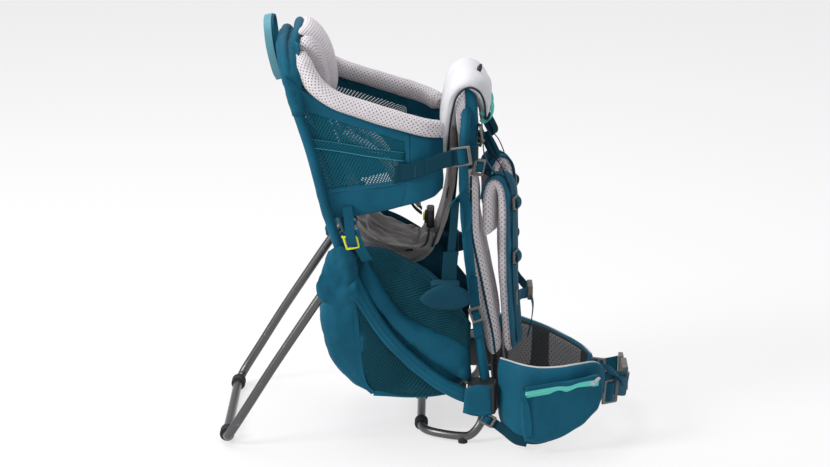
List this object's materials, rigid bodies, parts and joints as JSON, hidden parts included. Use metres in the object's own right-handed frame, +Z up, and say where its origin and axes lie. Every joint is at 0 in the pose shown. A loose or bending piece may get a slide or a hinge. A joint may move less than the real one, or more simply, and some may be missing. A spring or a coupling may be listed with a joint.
{
  "type": "child carrier backpack",
  "caption": "Framed child carrier backpack with a padded cockpit, folding kickstand, storage bag, shoulder harness and hip belt.",
  "frame": {"origin": "middle of the footprint, on the ground the carrier stands on", "axes": "+X the way the wearer faces, +Y the wearer's left, +Z up"},
  "size_m": [0.728, 0.4381, 0.7369],
  "materials": {
    "anodised_tube": "dark anodised, satin",
    "rubber": "matte",
    "hub_plastic": "matte",
    "zip_metal": "satin",
    "teal_fabric": "woven, matte",
    "dark_fabric": "woven, matte",
    "grey_mesh": "spacer mesh, matte",
    "light_fleece": "fleece, matte",
    "taupe_fabric": "satin weave",
    "mint_fabric": "webbing, matte",
    "buckle_plastic": "matte",
    "yellow_plastic": "matte"
  },
  "bodies": {
    "frame": {"main_frame_tube": "anodised_tube", "back_stay_tube": "anodised_tube", "base_frame_tube": "anodised_tube", "base_foot_rear_left": "rubber", "base_foot_rear_right": "rubber", "base_foot_front_left": "rubber", "base_foot_front_right": "rubber", "lower_hub_left": "hub_plastic", "lower_hub_right": "hub_plastic", "hinge_block_left": "hub_plastic", "hinge_block_right": "hub_plastic", "hinge_pin_left": "zip_metal", "hinge_pin_right": "zip_metal", "storage_bag": "teal_fabric", "cockpit_side_left": "teal_fabric", "cockpit_side_right": "teal_fabric", "headrest_shell": "teal_fabric", "seat_back": "teal_fabric", "back_top_panel": "teal_fabric", "compression_strap_left": "teal_fabric", "compression_strap_right": "teal_fabric", "footrest_webbing_left": "teal_fabric", "footrest_webbing_right": "teal_fabric", "bag_side_left": "dark_fabric", "bag_side_right": "dark_fabric", "lumbar_pad": "dark_fabric", "rim_pad_left": "grey_mesh", "rim_pad_right": "grey_mesh", "headrest_pad": "grey_mesh", "back_pad_left": "grey_mesh", "back_pad_right": "grey_mesh", "front_panel": "taupe_fabric", "grab_loop": "mint_fabric", "compression_buckle_left": "buckle_plastic", "compression_buckle_right": "buckle_plastic", "side_hook_left": "yellow_plastic", "side_hook_right": "yellow_plastic"},
    "kickstand": {"kickstand_tube": "anodised_tube", "kickstand_foot_left": "rubber", "kickstand_foot_right": "rubber"},
    "hip_belt_left": {"hip_fin_left": "teal_fabric", "waist_webbing_left": "teal_fabric", "waist_buckle_plug": "buckle_plastic"},
    "hip_belt_right": {"hip_fin_right": "teal_fabric", "hip_pocket": "teal_fabric", "waist_webbing_right": "teal_fabric", "waist_buckle_socket": "buckle_plastic"},
    "zip_slider": {"zip_slider": "zip_metal"},
    "shoulder_harness": {"shoulder_strap_left": "grey_mesh", "shoulder_strap_right": "grey_mesh", "harness_yoke": "teal_fabric"},
    "sternum_strap": {"sternum_strap": "teal_fabric", "sternum_buckle": "buckle_plastic"},
    "chin_pad": {"chin_pad": "light_fleece"},
    "child_seat": {"child_seat": "taupe_fabric", "child_harness": "dark_fabric", "harness_buckle": "buckle_plastic"},
    "harness_button": {"harness_button": "yellow_plastic"},
    "footrest_left": {"footrest_left": "teal_fabric"},
    "footrest_right": {"footrest_right": "teal_fabric"}
  },
  "joints": [
    {"name": "kickstand_fold", "type": "hinge", "parent": "frame", "child": "kickstand", "pos_m": [-0.1405, 0, 0.333], "axis": [0, -1, 0], "range_deg": [0, 55]},
    {"name": "hip_belt_right_swing", "type": "hinge", "parent": "frame", "child": "hip_belt_right", "pos_m": [0.1315, -0.15, 0.09], "axis": [0, 0, -1], "range_deg": [0, 25]},
    {"name": "hip_belt_left_swing", "type": "hinge", "parent": "frame", "child": "hip_belt_left", "pos_m": [0.1315, 0.15, 0.09], "axis": [0, 0, 1], "range_deg": [0, 25]},
    {"name": "zip_slide", "type": "slide", "parent": "hip_belt_right", "child": "zip_slider", "axis": [-0.9794, -0.1551, -0.1289], "range_m": [0, 0.1]},
    {"name": "back_length_slide", "type": "slide", "parent": "frame", "child": "shoulder_harness", "axis": [0, 0, 1], "range_m": [0, 0.05]},
    {"name": "sternum_height_slide", "type": "slide", "parent": "shoulder_harness", "child": "sternum_strap", "axis": [0, 0, 1], "range_m": [0, 0.04]},
    {"name": "chin_pad_lift", "type": "slide", "parent": "frame", "child": "chin_pad", "axis": [0, 0, 1], "range_m": [0, 0.1]},
    {"name": "seat_height_slide", "type": "slide", "parent": "frame", "child": "child_seat", "axis": [0, 0, 1], "range_m": [0, 0.035]},
    {"name": "harness_button_press", "type": "slide", "parent": "child_seat", "child": "harness_button", "axis": [1, 0, 0], "range_m": [0, 0.0025], "stiffness_N_per_m": 300},
    {"name": "footrest_left_height", "type": "slide", "parent": "frame", "child": "footrest_left", "axis": [0, 0, 1], "range_m": [0, 0.06]},
    {"name": "footrest_right_height", "type": "slide", "parent": "frame", "child": "footrest_right", "axis": [0, 0, 1], "range_m": [0, 0.06]}
  ]
}
